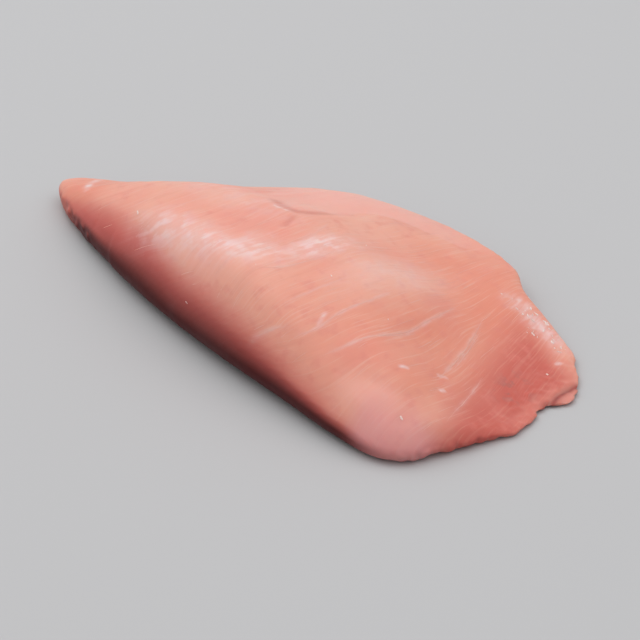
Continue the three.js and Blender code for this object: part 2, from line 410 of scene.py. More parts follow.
plan = read_points(breast.data)[:, :2]
upward = read_normals(breast.data)[:, 2]
film_and_sheen_patches = [
    (0.9, 2, -25, 7, 7, 0),
    (1.0, 8.5, -10, 13, 5.5, 80),
    (0.35, 17.5, 1, 20, 8, 88),
    (0.35, -12, -4, 26, 9, 0),
    *[(0.9, *spot, GLINT_LENGTH, GLINT_WIDTH, GLINT_TURN) for spot in PAINTED_GLINTS],
]
film_and_sheen_strokes = [
    (0.95, HAZE_BAND, 5),
    (0.9, END_MILK_AND_SHEEN, 3),
    (1.3, TAIL_MARK, 1.1),
    *[(1.0, mark, 0.6) for mark in WHITE_MARKS_AND_LIP_HIGHLIGHT],
    *[(0.55 * width, places, 0.6) for width, places in LONG_STRANDS],
]
haze = np.maximum(strongest_patch(plan, film_and_sheen_patches), strongest_stroke(plan, film_and_sheen_strokes))
store(breast.data, haze=haze * ramp(*FILM_AND_SHEEN_SLOPE, upward))

# %% [markdown]
# Thick meat beside the crest scatters more light, so it looks milky. The paler patches are
# also painted light: the one on the crest stands in partly for a soft sheen, and the ones on
# the near flank, on the far part of the flap and at the lobe brighten places that the lamps
# leave darker. Towards the blunt end and in the tail the meat is thinner and looks warmer.

# %% Mark milky meat with painted light, and warm meat
MILKY_AND_LIT_PATCHES = [
    (1.0, 18.5, -3, 24, 12, 85),
    (0.5, -4, -33, 30, 9, 4),
    (0.5, 5, 19, 15, 15, 0),
    (0.4, 42, -31, 5, 7, 0),
]
WARM_PATCHES = [
    (1.0, 25, 10, 28, 50, 0),
    (1.0, -42, -13, 12, 14, 0),
    (0.8, 37, -15, 12, 24, 0),
    (0.9, 17, 26, 14, 12, 0),
]
# The milky patches are partly painted light.
milk = strongest_patch(plan, MILKY_AND_LIT_PATCHES)
store(breast.data, milk=milk, warm=strongest_patch(plan, WARM_PATCHES))

# %% [markdown]
# The flap is a layer of its own, with a smooth pale cover. It starts at the seam and lies to the
# left of its path. Where the layers part, along the seam and the short fold on the crest, a
# darker rose is painted in as shade.

# %% Mark the flap and the painted shade where it parts
LIP_WIDTH = 1.2 * MM
LIP_SPREAD = 0.8
CREASE_WIDTH, CREASE_BEYOND, CREASE_OFFSET = 1.8 * MM, MM, 0.8 * MM
CREASE_START, CREASE_END = (0.05, 0.15), (0.2, 0.6)
CREST_CREASE, CREST_WIDTH = 0.6, 1.1 * MM

seam_side, seam_past, seam_share = beside(plan, path_through(SEAM))
flap = ramp(0, LIP_WIDTH + LIP_SPREAD * seam_past, seam_side)
flap *= soft_patch(plan, -3, 29, 36 * MM, 26 * MM, 12)
# Painted shade where the layers part.
crease = soft_line(seam_side, seam_past, CREASE_WIDTH, CREASE_BEYOND, CREASE_OFFSET)
crease *= ramp(*CREASE_START, seam_share) * ramp(*CREASE_END, 1 - seam_share)
crease = np.maximum(crease, CREST_CREASE * stroke(plan, CREST_FOLD, CREST_WIDTH))
store(breast.data, flap=flap, crease=crease)

# %% [markdown]
# Light passes through the thin end, so it is redder than the body. The shelf is that thin part.
# Its cut rim is painted paler, a painted rim light. Its little tongue is rosy, the dark line
# beside the tongue is painted shade, and one spot near the notch is bruised. The last of these
# masks says where flecks of fat crowd together.

# %% Mark the thin end
SHELF_EDGE = [(45.5, -42), (42.5, -27), (37.5, -3), (33, 20)]
SHELF_CLIMB = (-7 * MM, 9 * MM)
CORNER_CLIMB, CORNER_TURN, CORNER_START = (19, 31), 0.5, 36
GAP_WIDTH, GAP_BEYOND, GAP_OFFSET = 1.2 * MM, 1.5 * MM, -1.3 * MM
TONGUE_CLIMB, TONGUE_BEYOND = (-0.4 * MM, 0.4 * MM), 4 * MM
RIM_HEIGHT, RIM_ZONE = (1.2 * MM, 2.6 * MM), (28, 36)

points = read_points(breast.data)
along, across = percentages(points)
height = points[:, 2] - low.z
shelf_side, _, _ = beside(plan, path_through(SHELF_EDGE))
far_corner = ramp(*CORNER_CLIMB, across + CORNER_TURN * (along - CORNER_START))
tongue_side, tongue_past, _ = beside(plan, path_through(TONGUE_FOLD))
# Painted shade in the narrow hollow beside the tongue.
gap_shade = soft_line(tongue_side, tongue_past, GAP_WIDTH, GAP_BEYOND, GAP_OFFSET)
gap_shade = np.maximum(gap_shade, 0.8 * soft_patch(plan, 48.4, 5, 2.5 * MM, 3 * MM))
# The cut rim is a painted rim light.
rim_light = 0.6 * ramp(-25, -8, across) + 0.4 * ramp(8, 18, across)
store(
    breast.data,
    shelf=ramp(*SHELF_CLIMB, -shelf_side) * (1 - far_corner),
    fold=gap_shade,
    tongue=ramp(*TONGUE_CLIMB, -tongue_side) * (tongue_past < TONGUE_BEYOND),
    rim=(1 - ramp(*RIM_HEIGHT, height)) * ramp(*RIM_ZONE, along) * rim_light,
    bruise=soft_patch(plan, 42.8, 2, 5 * MM, 7 * MM, 20),
    flecked=soft_patch(plan, 34.5, 29.5, 12 * MM, 3.5 * MM, -18),
)

# %% [markdown]
# Steep sides are painted rosier and darker, most of all the near flank: this rose is painted
# shade. Where the flank turns under, its lowest part is painted deep red, a painted contact
# shadow. These masks come from the normals, because they follow the shape and not a path. The
# low edge of the lobe is lilac, with a pale arc over it. The top is all that faces up, without
# the cut edge of the tail: fibres, strands and flecks show there.

# %% Mark the flank's painted shade, the lobe and the top
LOBE_LOW = [(32, -49), (36, -48.5), (41, -46), (44.5, -40), (46, -32)]
LOBE_ARC = [(27, -46), (31.4, -43.6), (34.3, -41.5), (37.5, -40), (40.5, -41)]
EVEN_ENDS = 0.01
FLANK_START, FLANK_END, FLANK_ACROSS = (-50, -36), (31, 43), (-25, 0)
TAIL_START, TAIL_END, TAIL_SHADE = (-56, -30), (-20, -4), 0.2
SIDE_SLOPE, UNDER_SLOPE, TOP_SLOPE = (0.2, 0.6), (-0.05, 0.46), (0.15, 0.6)
OTHER_SIDES, OTHER_FEET = 0.5, 0.25

# The near flank takes the strongest painted shade, and the other sides take less.
flank = ramp(*FLANK_START, along) * (1 - ramp(*FLANK_END, along))
flank *= 1 - ramp(*FLANK_ACROSS, across)
slope = upward - TAIL_SHADE * ramp(*TAIL_START, along) * (1 - ramp(*TAIL_END, along))
turned_under = 1 - ramp(*UNDER_SLOPE, 0.7 * upward + 0.3 * slope)
tail_cut = stroke(plan, TAIL_EDGE, 9 * MM, EVEN_ENDS)
store(
    breast.data,
    lobe=stroke(plan, LOBE_LOW, 8 * MM),
    arc=stroke(plan, LOBE_ARC, 4 * MM),
    # The side mask is painted shade on steep meat, and the next one is a painted contact shadow
    # where the flank turns under.
    side=(1 - ramp(*SIDE_SLOPE, slope)) * (OTHER_SIDES + (1 - OTHER_SIDES) * flank),
    foot=turned_under * (OTHER_FEET + (1 - OTHER_FEET) * flank),
    top=ramp(*TOP_SLOPE, upward) * (1 - tail_cut),
)

# %% [markdown]
# ## Helpers for node trees
# Geometry Nodes and materials are both trees of nodes. They could be drawn by hand, but trees
# built in code can be read and repeated. One helper adds a node and fills its inputs, and short
# ones write a sum in a single line.

# %% Build node trees in code
COLUMN, ROW, ROWS = 190, -170, 5


def fill_inputs(tree, node, inputs):
    """Links an input where its value is itself a socket, and otherwise sets the value."""
    for key, value in inputs.items():
        if isinstance(value, bpy.types.NodeSocket):
            tree.links.new(value, node.inputs[key])
        else:
            node.inputs[key].default_value = value


def add_node(tree, kind, inputs=None, **options):
    """Adds a node with these options, and fills its inputs."""
    node = tree.nodes.new(kind)
    node.location = (len(tree.nodes) * COLUMN, (len(tree.nodes) % ROWS) * ROW)
    for name, value in options.items():
        setattr(node, name, value)
    fill_inputs(tree, node, inputs or {})
    return node


def maths(tree, operation, *values):
    inputs = dict(enumerate(values))
    return add_node(tree, "ShaderNodeMath", inputs, operation=operation).outputs[0]


def vector_maths(tree, operation, *values):
    inputs = dict(enumerate(values))
    node = add_node(tree, "ShaderNodeVectorMath", inputs, operation=operation)
    return node.outputs["Vector"]


def centred(tree, value):
    """Noise runs from 0 to 1. This moves it to run from -0.5 to 0.5."""
    return maths(tree, "SUBTRACT", value, 0.5)


def remap(tree, value, start, end, low_value=0.0, high_value=1.0):
    inputs = {"Value": value, "From Min": start, "From Max": end}
    inputs.update({"To Min": low_value, "To Max": high_value})
    node = add_node(tree, "ShaderNodeMapRange", inputs, interpolation_type="SMOOTHSTEP")
    return node.outputs["Result"]


def soft_noise(tree, position, scale, detail):
    inputs = {"Vector": position, "Scale": scale, "Detail": detail}
    return add_node(tree, "ShaderNodeTexNoise", inputs).outputs[0]


def random_size(tree, least, most, seed):
    """A random length for each point. The node has hidden inputs of the same names first."""
    inputs = {2: least, 3: most, "Seed": seed}
    return add_node(tree, "FunctionNodeRandomValue", inputs, data_type="FLOAT").outputs[1]


# %% [markdown]
# A tree has named inputs, so the same tree can be used again with other sizes. A modifier keeps
# such an input under its identifier and not under its name, so a helper looks that up.

# %% Trees with named inputs


def new_tree(name, kind, inputs, outputs):
    """A tree whose inputs and outputs have these names and types."""
    tree = bpy.data.node_groups.new(name, kind)
    for in_out, sockets in (("INPUT", inputs), ("OUTPUT", outputs)):
        for label, socket_type in sockets.items():
            tree.interface.new_socket(
                label, in_out=in_out, socket_type="NodeSocket" + socket_type
            )
    return tree


def geometry_tree(name, inputs):
    """A Geometry Nodes tree, and what its inputs give."""
    geometry = {"Geometry": "Geometry"}
    tree = new_tree(name, "GeometryNodeTree", {**geometry, **inputs}, geometry)
    return tree, add_node(tree, "NodeGroupInput").outputs


def end_tree(tree, geometry, material):
    """The last nodes of a Geometry Nodes tree: real geometry that has its material."""
    real = add_node(tree, "GeometryNodeRealizeInstances", {0: geometry}).outputs[0]
    inputs = {"Geometry": real, "Material": material}
    painted = add_node(tree, "GeometryNodeSetMaterial", inputs).outputs[0]
    add_node(tree, "NodeGroupOutput", {0: painted})


def stored(tree, name, data_type="FLOAT"):
    """What the mesh keeps under this name, for a Geometry Nodes tree."""
    inputs = {"Name": name}
    node = add_node(tree, "GeometryNodeInputNamedAttribute", inputs, data_type=data_type)
    return node.outputs[0]


def shifted(tree, geometry, offset):
    """The geometry with each point moved by the offset."""
    inputs = {"Geometry": geometry, "Offset": offset}
    return add_node(tree, "GeometryNodeSetPosition", inputs).outputs[0]


def mesh_of(tree, piece):
    """The mesh of an object that a tree is given."""
    return add_node(tree, "GeometryNodeObjectInfo", {"Object": piece}).outputs["Geometry"]


def give_modifier(piece, tree, values):
    """Puts the tree on the piece. Inputs are found by name and set by their identifiers."""
    modifier = piece.modifiers.new(tree.name, "NODES")
    modifier.node_group = tree
    for item in tree.interface.items_tree:
        if item.item_type == "SOCKET" and item.in_out == "INPUT" and item.name in values:
            modifier[item.identifier] = values[item.name]


# %% [markdown]
# ## The run of the fibres
# The muscle's fibres run across the fillet. They bow on the near side, lean over in the tail
# and towards the blunt end, and slant as they go down the near flank. One sum gives every point
# a number that stays the same all along a fibre, and the slope of that sum gives the way the
# fibre runs. Both are kept on the mesh, so Geometry Nodes and the materials can read them.

# %% Number the fibres
BOW = 6.5
BOW_MIDDLE = -6 * MM
BOW_END = 4 * MM
LEAN_START = 11 * MM
LEAN_LENGTH = 90 * MM
END_LEAN = 0.3
END_START = 31 * MM
END_LENGTH = 35 * MM
FLANK_TOP = 22 * MM
NEAR_ACROSS, NEAR_ALONG = (-32, -12), (10, 34)
LEAST_UPWARD = 0.15

points = read_points(breast.data)
normals = read_normals(breast.data)
x, y = points[:, 0], points[:, 1]
bowed = np.minimum(y, BOW_END) - BOW_MIDDLE
tailward = np.maximum(LEAN_START - x, 0) / LEAN_LENGTH
endward = np.clip((x - END_START) / END_LENGTH, 0, 1)
lean = END_LEAN * endward - tailward**2
near = (1 - ramp(*NEAR_ACROSS, across)) * (1 - ramp(*NEAR_ALONG, along))
drop = near * np.maximum(FLANK_TOP - points[:, 2] + low.z, 0)
fibre = x + BOW * bowed**2 + lean * y + drop

steep = near * (drop > 0) / np.maximum(normals[:, 2], LEAST_UPWARD)
over_x = 1 + 2 * tailward * y / LEAN_LENGTH + steep * normals[:, 0]
over_y = 2 * BOW * bowed * (y < BOW_END) + lean + steep * normals[:, 1]
run = np.stack((-over_y, over_x, np.zeros(len(x))), axis=1)
run /= np.linalg.norm(run, axis=1)[:, None]
fibre_layer = breast.data.attributes.new("fibre", "FLOAT", "POINT")
fibre_layer.data.foreach_set("value", fibre.astype(np.float32))
run_layer = breast.data.attributes.new("fibre_run", "FLOAT_VECTOR", "POINT")
run_layer.data.foreach_set("vector", run.astype(np.float32).ravel())
print("the fibres span", round((fibre.max() - fibre.min()) / MM), "mm")

# %% [markdown]
# Noise that changes fast with the fibre's number and slowly along the fibre looks like fibres.
# The same nodes work in Geometry Nodes and in a material, so a function writes them into either.

# %% Noise along the fibres
DRIFT_SCALE = 45.0


def fibre_noise(tree, fibre, position, spacing, stretch, detail, wobble=0.5 * MM, seed=0.0):
    """Noise along the fibres. spacing is their width and stretch their length, in metres."""
    along_fibre = add_node(tree, "ShaderNodeSeparateXYZ", {0: position}).outputs["Y"]
    drift = soft_noise(tree, position, DRIFT_SCALE, 1.0)
    swayed = maths(tree, "MULTIPLY_ADD", centred(tree, drift), wobble * 2, fibre)
    inputs = {"X": maths(tree, "MULTIPLY", swayed, 1 / spacing)}
    inputs["Y"] = maths(tree, "MULTIPLY", along_fibre, 1 / stretch)
    inputs["Z"] = seed
    spot = add_node(tree, "ShaderNodeCombineXYZ", inputs).outputs[0]
    inputs = {"Vector": spot, "Scale": 1.0, "Detail": detail, "Roughness": 0.55}
    return add_node(tree, "ShaderNodeTexNoise", inputs).outputs[0]


# %% [markdown]
# The relief itself is a Geometry Nodes tree. It has two layers: bundles a few millimetres wide
# and a finer grain on them. Both fade on the flap, which has a smooth cover, and on all that
# doesn't face up.

# %% Raise the fibres
FLAP_COVER = 0.7
SIDE_SHARE = 0.25


def fibre_relief_tree():
    tree, given = geometry_tree("fibre relief", {"Bundle rise": "Float", "Grain rise": "Float"})
    position = add_node(tree, "GeometryNodeInputPosition").outputs[0]
    normal = add_node(tree, "GeometryNodeInputNormal").outputs["Normal"]
    fibre = stored(tree, "fibre")
    bundles = fibre_noise(tree, fibre, position, 2.4 * MM, 24 * MM, detail=1.0)
    grain = fibre_noise(tree, fibre, position, 1.1 * MM, 14 * MM, detail=1.0, seed=5.0)
    rise = maths(tree, "MULTIPLY", centred(tree, bundles), given["Bundle rise"])
    fine = maths(tree, "MULTIPLY", centred(tree, grain), given["Grain rise"])
    covered = maths(tree, "MULTIPLY", stored(tree, "flap"), FLAP_COVER)
    bare = maths(tree, "SUBTRACT", 1.0, covered)
    shown = maths(tree, "MULTIPLY_ADD", stored(tree, "top"), 1 - SIDE_SHARE, SIDE_SHARE)
    total = maths(tree, "MULTIPLY", maths(tree, "ADD", rise, fine), 2.0)
    total = maths(tree, "MULTIPLY", total, maths(tree, "MULTIPLY", bare, shown))
    inputs = {0: normal, "Scale": total}
    push = add_node(tree, "ShaderNodeVectorMath", inputs, operation="SCALE").outputs["Vector"]
    end_tree(tree, shifted(tree, given["Geometry"], push), meat)
    return tree


meat = bpy.data.materials.new("raw meat")
relief = {"Bundle rise": 0.05 * MM, "Grain rise": 0.04 * MM}
give_modifier(breast, fibre_relief_tree(), relief)
bake_modifiers(breast)
write_points(breast.data, read_points(breast.data))
print("fibres raised on", len(breast.data.vertices), "points")

# %% [markdown]
# ## Strands of connective tissue
# Thin pale strands lie on the muscle along the fibres. Most are short and faint, and a few run
# right over the body. They are curves, because each one follows a line. A ray from above drops
# every point of a curve onto the meat. Points on steep meat are left out, because a strand
# there would look stretched. Short and long strands share these steps, so functions write them.

# %% Lay curves on the meat
SWAY = 0.9 * MM
SWAY_SCALE = 90.0
RAY_START = 0.08
STEEPEST = 0.4


def swayed_curves(tree, curves):
    """The curves with small bends, because no strand is quite straight."""
    position = add_node(tree, "GeometryNodeInputPosition").outputs[0]
    drift = soft_noise(tree, position, SWAY_SCALE, 2.0)
    sway = maths(tree, "MULTIPLY", centred(tree, drift), SWAY)
    return shifted(tree, curves, add_node(tree, "ShaderNodeCombineXYZ", {"X": sway}).outputs[0])


def dropped_curves(tree, curves, target):
    """The curves on the target, turned to lie flat on it, without what is too steep."""
    position = add_node(tree, "GeometryNodeInputPosition").outputs[0]
    parts = add_node(tree, "ShaderNodeSeparateXYZ", {0: position}).outputs
    inputs = {"X": parts["X"], "Y": parts["Y"], "Z": RAY_START}
    ray = add_node(tree, "GeometryNodeRaycast", {
        "Target Geometry": target,
        "Source Position": add_node(tree, "ShaderNodeCombineXYZ", inputs).outputs[0],
        "Ray Direction": (0.0, 0.0, -1.0),
        "Ray Length": RAY_START * 2,
    }).outputs
    facing = add_node(tree, "ShaderNodeSeparateXYZ", {0: ray["Hit Normal"]}).outputs["Z"]
    flat_enough = maths(tree, "GREATER_THAN", facing, STEEPEST)
    lies = maths(tree, "MULTIPLY", ray["Is Hit"], flat_enough)
    inputs = {"Geometry": curves, "Position": ray["Hit Position"]}
    down = add_node(tree, "GeometryNodeSetPosition", inputs).outputs[0]
    inputs = {"Geometry": down, "Selection": maths(tree, "LESS_THAN", lies, 0.5)}
    kept = add_node(tree, "GeometryNodeDeleteGeometry", inputs).outputs[0]
    inputs = {"Curve": kept, "Normal": ray["Hit Normal"]}
    return add_node(tree, "GeometryNodeSetCurveNormal", inputs, mode="FREE").outputs[0]


# %% [markdown]
# A ring pressed flat and swept along a curve makes a ribbon. It is thinner towards its ends.

# %% Make ribbons
FLATNESS = 0.15
RING_POINTS = 6
FINEST_END = 0.08


def ribbons(tree, curves, radius):
    """Thin flat ribbons along the curves, with fine ends."""
    share = add_node(tree, "GeometryNodeSplineParameter").outputs["Factor"]
    from_middle = maths(tree, "ABSOLUTE", maths(tree, "MULTIPLY_ADD", share, 2.0, -1.0))
    taper = maths(tree, "SUBTRACT", 1.0, maths(tree, "POWER", from_middle, 3.0))
    inputs = {"Resolution": RING_POINTS, "Radius": 1.0}
    ring = add_node(tree, "GeometryNodeCurvePrimitiveCircle", inputs).outputs["Curve"]
    inputs = {"Geometry": ring, "Scale": (FLATNESS, 1.0, 1.0)}
    flat_ring = add_node(tree, "GeometryNodeTransform", inputs).outputs[0]
    return add_node(tree, "GeometryNodeCurveToMesh", {
        "Curve": curves,
        "Profile Curve": flat_ring,
        "Scale": maths(tree, "MULTIPLY", maths(tree, "MAXIMUM", taper, FINEST_END), radius),
        "Fill Caps": True,
    }).outputs[0]


def end_in_strands(tree, curves, target, radius):
    """The shared last steps: sway, drop, make ribbons and give them their material."""
    laid = dropped_curves(tree, swayed_curves(tree, curves), target)
    end_tree(tree, ribbons(tree, laid, radius), tissue)


tissue = bpy.data.materials.new("connective tissue")

# %% [markdown]
# The short strands are all alike and there are hundreds of them, so Geometry Nodes scatters
# one line over the meat, turns each copy along the fibres and gives it a random length. There
# are few on the thin end.

# %% Scatter the short strands
THIN_END_BARE = 0.8
LINE_POINTS = 12


def short_strands_tree():
    tree, given = geometry_tree("short strands", {
        "Meat": "Object",
        "Per square metre": "Float",
        "Shortest": "Float",
        "Longest": "Float",
        "Radius": "Float",
        "Seed": "Int",
    })
    target = mesh_of(tree, given["Meat"])
    thin_end = maths(tree, "MULTIPLY", stored(tree, "shelf"), THIN_END_BARE)
    where = maths(tree, "SUBTRACT", stored(tree, "top"), thin_end)
    spread = add_node(tree, "GeometryNodeDistributePointsOnFaces", {
        "Mesh": target,
        "Density": maths(tree, "MULTIPLY", given["Per square metre"], where),
        "Seed": given["Seed"],
    })
    inputs = {"Vector": stored(tree, "fibre_run", "FLOAT_VECTOR")}
    aim = add_node(tree, "FunctionNodeAlignRotationToVector", inputs, axis="X")
    reach = random_size(tree, given["Shortest"], given["Longest"], given["Seed"])
    stretch = add_node(tree, "ShaderNodeCombineXYZ", {"X": reach, "Y": 1.0, "Z": 1.0})
    inputs = {"Start": (-0.5, 0, 0), "End": (0.5, 0, 0)}
    line = add_node(tree, "GeometryNodeCurvePrimitiveLine", inputs).outputs[0]
    inputs = {"Curve": line, "Count": LINE_POINTS}
    copies = add_node(tree, "GeometryNodeInstanceOnPoints", {
        "Points": spread.outputs["Points"],
        "Instance": add_node(tree, "GeometryNodeResampleCurve", inputs).outputs[0],
        "Rotation": aim.outputs[0],
        "Scale": stretch.outputs[0],
    })
    curves = add_node(tree, "GeometryNodeRealizeInstances", {0: copies.outputs[0]}).outputs[0]
    end_in_strands(tree, curves, target, given["Radius"])
    return tree


def empty_piece(name):
    return link(bpy.data.objects.new(name, bpy.data.meshes.new(name)))


short_strands = empty_piece("short_strands")
give_modifier(short_strands, short_strands_tree(), {
    "Meat": breast,
    "Per square metre": 11000.0,
    "Shortest": 3 * MM,
    "Longest": 14 * MM,
    "Radius": 0.07 * MM,
    "Seed": 1,
})
bake_modifiers(short_strands)
print("short strands:", len(short_strands.data.polygons), "faces")

# %% [markdown]
# The long strands are the ones that the eye picks out, so each has its own path through a few
# places. They are drawn as plain curves first, with their thickness as the radius of the
# curve's points, and the same steps lay them down.

# %% Draw the long strands


def curves_through(name, lines):
    """A curve object with a line through each list of places. Each line has its own radius."""
    data = bpy.data.curves.new(name, "CURVE")
    data.dimensions = "3D"
    for width, places in lines:
        path = path_through(places)
        line = data.splines.new("POLY")
        line.points.add(len(path) - 1)
        for point, spot in zip(line.points, path):
            point.co = (*spot, 0.0, 1.0)
            point.radius = width
    return link(bpy.data.objects.new(name, data))


def long_strands_tree():
    sockets = {"Meat": "Object", "Lines": "Object", "Radius": "Float"}
    tree, given = geometry_tree("long strands", sockets)
    own_radius = add_node(tree, "GeometryNodeInputRadius").outputs[0]
    radius = maths(tree, "MULTIPLY", own_radius, given["Radius"])
    end_in_strands(tree, mesh_of(tree, given["Lines"]), mesh_of(tree, given["Meat"]), radius)
    return tree


strand_lines = curves_through("strand_lines", LONG_STRANDS)
long_strands = empty_piece("long_strands")
give_modifier(long_strands, long_strands_tree(), {
    "Meat": breast,
    "Lines": strand_lines,
    "Radius": 0.14 * MM,
})
bake_modifiers(long_strands)
bpy.data.objects.remove(strand_lines)
print("long strands:", len(long_strands.data.polygons), "faces")

# %% [markdown]
# ## Flecks of fat
# Small wet flecks of fat sit near the thin end's far edge, with a few more on the body. They
# are flattened drops of many sizes, half sunk in the meat and most of them long along the edge.
# Their near-white colour partly stands in for the wet glints on that edge: a painted highlight.

# %% Turn and size a fleck
LONGEST_TO_WIDEST = 3.0
THIN_TO_WIDE = 0.4
HEADING_FROM = (0.4, -1.1, 0.0)
HEADING_TO = (1.6, 0.2, 0.0)


def fleck_turn(tree, seed, normal):
    """Turns a drop's length roughly along the end's far edge, and its thin way outwards."""
    inputs = {0: HEADING_FROM, 1: HEADING_TO, "Seed": seed}
    heading = add_node(tree, "FunctionNodeRandomValue", inputs, data_type="FLOAT_VECTOR")
    inputs = {"Vector": heading.outputs[0]}
    along_edge = add_node(tree, "FunctionNodeAlignRotationToVector", inputs, axis="X")
    inputs = {"Rotation": along_edge.outputs[0], "Vector": normal}
    return add_node(tree, "FunctionNodeAlignRotationToVector", inputs, axis="Z").outputs[0]


def fleck_size(tree, smallest, largest, seed):
    """A random width and length for a drop, and a thickness that follows the width."""
    wide = random_size(tree, smallest, largest, seed)
    longest = maths(tree, "MULTIPLY", largest, LONGEST_TO_WIDEST)
    long = random_size(tree, smallest, longest, maths(tree, "ADD", seed, 1.0))
    inputs = {"X": long, "Y": wide, "Z": maths(tree, "MULTIPLY", wide, THIN_TO_WIDE)}
    return add_node(tree, "ShaderNodeCombineXYZ", inputs).outputs[0]


# %% [markdown]
# Modelled one by one they would take a day, so one drop is scattered: densely where the mask
# says so, and thinly elsewhere. Noise pushes the points about, so no two flecks look alike.

# %% Scatter the flecks
LUMP_SCALE = 1800.0
LUMP_PUSH = (0.9 * MM, 0.9 * MM, 0.15 * MM)


def flecks_tree():
    tree, given = geometry_tree("flecks", {
        "Meat": "Object",
        "Crowd per square metre": "Float",
        "Stray per square metre": "Float",
        "Smallest": "Float",
        "Largest": "Float",
        "Seed": "Int",
    })
    seed = given["Seed"]
    crowd = maths(tree, "MULTIPLY", stored(tree, "flecked"), given["Crowd per square metre"])
    stray = given["Stray per square metre"]
    spread = add_node(tree, "GeometryNodeDistributePointsOnFaces", {
        "Mesh": mesh_of(tree, given["Meat"]),
        "Density": maths(tree, "MULTIPLY_ADD", stored(tree, "top"), stray, crowd),
        "Seed": seed,
    })
    drop = add_node(tree, "GeometryNodeMeshIcoSphere", {"Radius": 1.0, "Subdivisions": 2})
    copies = add_node(tree, "GeometryNodeInstanceOnPoints", {
        "Points": spread.outputs["Points"],
        "Instance": drop.outputs["Mesh"],
        "Rotation": fleck_turn(tree, seed, spread.outputs["Normal"]),
        "Scale": fleck_size(tree, given["Smallest"], given["Largest"], seed),
    })
    real = add_node(tree, "GeometryNodeRealizeInstances", {0: copies.outputs[0]}).outputs[0]
    position = add_node(tree, "GeometryNodeInputPosition").outputs[0]
    inputs = {"Vector": position, "Scale": LUMP_SCALE, "Detail": 1.0}
    lumps = add_node(tree, "ShaderNodeTexNoise", inputs).outputs["Color"]
    push = vector_maths(tree, "SUBTRACT", lumps, (0.5, 0.5, 0.5))
    push = vector_maths(tree, "MULTIPLY", push, LUMP_PUSH)
    uneven = {"Geometry": shifted(tree, real, push)}
    end_tree(tree, add_node(tree, "GeometryNodeSetShadeSmooth", uneven).outputs[0], fat)
    return tree


fat = bpy.data.materials.new("wet fat")
flecks = empty_piece("fat_flecks")
give_modifier(flecks, flecks_tree(), {
    "Meat": breast,
    "Crowd per square metre": 260000.0,
    "Stray per square metre": 700.0,
    "Smallest": 0.12 * MM,
    "Largest": 0.32 * MM,
    "Seed": 4,
})
bake_modifiers(flecks)
print("flecks:", len(flecks.data.polygons), "faces")

# %% [markdown]
# ## A wet film
# All three finishes are wet, so they share one group: a slow change of gloss, where the film is
# thicker or thinner, and a fine unevenness for the bump. It puts out only values, and each
# material keeps its own shader.

# %% The shared wet film
RIPPLE_SCALE = 900.0


def wet_film_group():
    sockets = ("Driest", "Wettest", "Patch scale", "Ripple scale")
    outputs = {"Roughness": "Float", "Height": "Float"}
    tree = new_tree("wet film", "ShaderNodeTree", dict.fromkeys(sockets, "Float"), outputs)
    given = add_node(tree, "NodeGroupInput").outputs
    position = add_node(tree, "ShaderNodeTexCoord").outputs["Object"]
    thickness = soft_noise(tree, position, given["Patch scale"], 3.0)
    ripples = soft_noise(tree, position, given["Ripple scale"], 2.0)
    gloss = remap(tree, thickness, 0.35, 0.65, given["Driest"], given["Wettest"])
    add_node(tree, "NodeGroupOutput", {"Roughness": gloss, "Height": ripples})
    return tree


def film_in(tree, driest, wettest, patch_scale):
    """The film in a material. driest and wettest are the roughness at its two extremes."""
    inputs = {"Driest": driest, "Wettest": wettest}
    inputs.update({"Patch scale": patch_scale, "Ripple scale": RIPPLE_SCALE})
    film = add_node(tree, "ShaderNodeGroup", inputs, node_tree=wet_film)
    return film.outputs["Roughness"], film.outputs["Height"]


wet_film = wet_film_group()
print("the wet film has", len(wet_film.nodes), "nodes")

# %% [markdown]
# ## The meat's colour
# Raw chicken is a pale, warm pink that light soaks into. Its colour is built in layers, so each
# can be set against the real thing on its own. The tints are given as a screen shows them, and
# a helper turns them into what shaders use.

# %% Colour helpers


def from_screen(red, green, blue):
    """A colour as seen on a screen, 0 to 255, as the linear values that shaders use."""
    shares = np.array((red, green, blue)) / 255
    linear = np.where(shares <= 0.04045, shares / 12.92, ((shares + 0.055) / 1.055) ** 2.4)
    return (*linear.tolist(), 1.0)


def blend_colour(tree, share, under, over):
    """Mixes two colours. The node has inputs of the same names for numbers and vectors first."""
    inputs = {0: share, 6: under, 7: over}
    return add_node(tree, "ShaderNodeMix", inputs, data_type="RGBA").outputs[2]


def mask(tree, name, strength=1.0):
    value = add_node(tree, "ShaderNodeAttribute", attribute_name=name).outputs["Fac"]
    return maths(tree, "MULTIPLY", value, strength)


def tint_masks(tree, colour, rows):
    """Lays a tint over the colour for each row: a mask, its strength and the tint."""
    for name, strength, tint in rows:
        colour = blend_colour(tree, mask(tree, name, strength), colour, tint)
    return colour


def tint_noise(tree, colour, rows):
    """Lays a tint over the colour for each row: noise, where it starts and ends, and strength."""
    for value, start, end, strength, tint in rows:
        share = remap(tree, value, start, end, high_value=strength)
        colour = blend_colour(tree, share, colour, tint)
    return colour


def shader_of(material):
    material.use_nodes = True
    tree = material.node_tree
    tree.nodes.clear()
    shader = add_node(tree, "ShaderNodeBsdfPrincipled")
    add_node(tree, "ShaderNodeOutputMaterial", {"Surface": shader.outputs[0]})
    return tree, shader


# %% [markdown]
# The base drifts slowly between pink and beige. Over it come the wide patches, the milky ones
# partly painted light, then a mottle of rose, and then the fibres: broad bundles that are paler
# or deeper, and fine pale threads, which are fainter on the thin end.

# %% Paint the body and its fibres
PINK = from_screen(238, 161, 145)
BEIGE = from_screen(240, 172, 152)
WARM_PINK = from_screen(233, 144, 121)
RED_END = from_screen(207, 104, 93)
MILKY_AND_LIT_BEIGE = from_screen(246, 190, 171)
ROSE = from_screen(228, 141, 129)
PALE_FIBRE = from_screen(241, 192, 174)
DEEP_FIBRE = from_screen(204, 120, 106)

